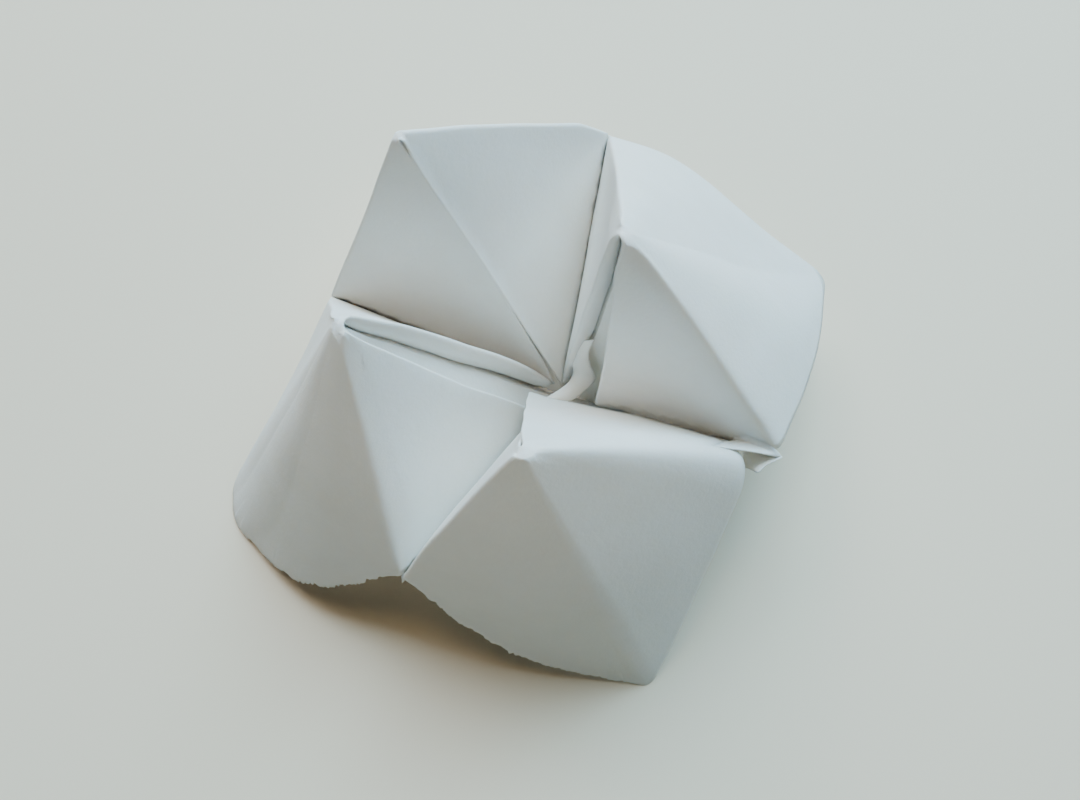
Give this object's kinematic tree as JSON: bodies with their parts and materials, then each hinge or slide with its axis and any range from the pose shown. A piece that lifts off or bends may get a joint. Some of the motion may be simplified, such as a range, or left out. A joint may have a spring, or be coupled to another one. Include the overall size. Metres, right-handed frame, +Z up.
{
  "type": "paper fortune teller",
  "caption": "Paper fortune teller folded from one square sheet, half open: finger pockets round a pointed mouth, tucked inner flaps, soft creases and a torn edge.",
  "frame": {"origin": "centre of the bounding box in plan, at table level", "axes": "+Z up from the table it rests on, -Y towards the side with the torn edges"},
  "size_m": [0.0894, 0.0858, 0.0496],
  "materials": {
    "paper": "matte white drawing paper"
  },
  "bodies": {
    "root": {"folded_sheet": "paper"}
  },
  "joints": []
}
